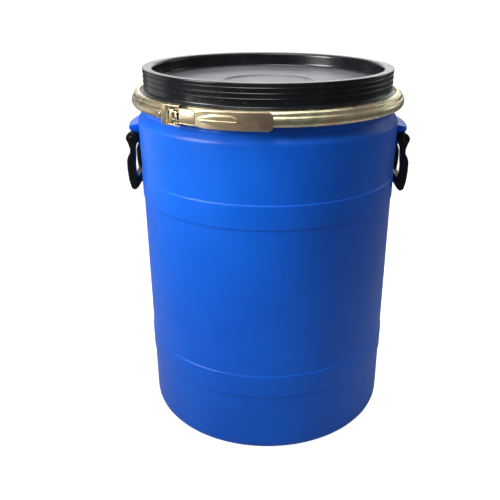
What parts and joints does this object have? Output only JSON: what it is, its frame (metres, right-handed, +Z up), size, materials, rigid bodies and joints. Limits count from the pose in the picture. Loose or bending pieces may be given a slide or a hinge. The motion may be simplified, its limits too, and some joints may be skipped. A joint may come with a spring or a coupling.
{
  "type": "open head drum",
  "caption": "Blue plastic open head drum with a recessed black lid, a zinc-plated lever closing ring and two black drop handles.",
  "frame": {"origin": "centre of the flat base, on the surface that the drum stands on", "axes": "+Z up along the drum's axis, X through the two handles, the ring's closure towards -Y"},
  "size_m": [0.416, 0.4034, 0.5407],
  "materials": {
    "drum_plastic": "satin royal blue HDPE",
    "lid_plastic": "glossy black HDPE",
    "gasket_rubber": "matt black rubber",
    "ring_steel": "yellow zinc-plated steel",
    "pin_steel": "zinc-plated steel",
    "handle_plastic": "satin black moulded plastic"
  },
  "bodies": {
    "drum": {"drum_body": "drum_plastic", "handle_pin_left": "pin_steel", "handle_pin_right": "pin_steel"},
    "lid": {"lid": "lid_plastic", "lid_gasket": "gasket_rubber"},
    "ring": {"ring_back": "ring_steel"},
    "ring_left": {"ring_left_half": "ring_steel", "catch_bracket": "ring_steel", "catch_pin": "pin_steel", "catch_rivet_1": "pin_steel", "catch_rivet_2": "pin_steel"},
    "ring_right": {"ring_right_half": "ring_steel", "pivot_bracket": "ring_steel", "bracket_rivet_1": "pin_steel", "bracket_rivet_2": "pin_steel", "pivot_rivet_upper": "pin_steel", "pivot_rivet_lower": "pin_steel"},
    "lever": {"lever": "ring_steel", "link_pin": "pin_steel"},
    "link": {"link": "ring_steel"},
    "handle_left": {"handle_left": "handle_plastic"},
    "handle_right": {"handle_right": "handle_plastic"}
  },
  "joints": [
    {"name": "lid_lift", "type": "slide", "parent": "drum", "child": "lid", "axis": [0, 0, 1], "range_m": [0, 0.25]},
    {"name": "ring_lift", "type": "slide", "parent": "drum", "child": "ring", "axis": [0, 0, 1], "range_m": [0, 0.4], "deforming": ["ring_back", "ring_left_half", "ring_right_half"]},
    {"name": "ring_left_spread", "type": "hinge", "parent": "ring", "child": "ring_left", "pos_m": [0.08671, 0.17778, 0.4995], "axis": [0, 0, -1], "range_deg": [0, 1.2]},
    {"name": "ring_right_spread", "type": "hinge", "parent": "ring", "child": "ring_right", "pos_m": [0.13235, 0.14699, 0.4995], "axis": [0, 0, 1], "range_deg": [0, 1.2]},
    {"name": "lever_swing", "type": "hinge", "parent": "ring_right", "child": "lever", "pos_m": [-0.11127, -0.16979, 0.4995], "axis": [0, 0, -1], "range_deg": [0, 130]},
    {"name": "link_swing", "type": "hinge", "parent": "lever", "child": "link", "pos_m": [-0.0958, -0.17898, 0.4995], "axis": [0, 0, -1], "range_deg": [-130, 0]},
    {"name": "handle_right_swing", "type": "hinge", "parent": "drum", "child": "handle_right", "pos_m": [0.198, 0, 0.4415], "axis": [0, -1, 0], "range_deg": [0, 90]},
    {"name": "handle_left_swing", "type": "hinge", "parent": "drum", "child": "handle_left", "pos_m": [-0.198, 0, 0.4415], "axis": [0, 1, 0], "range_deg": [0, 90]}
  ],
  "couplings": [
    {"joint": "ring_left_spread", "follows": "lever_swing", "ratio": 0.00923},
    {"joint": "ring_right_spread", "follows": "lever_swing", "ratio": 0.00923},
    {"joint": "link_swing", "follows": "lever_swing", "ratio": -1}
  ]
}
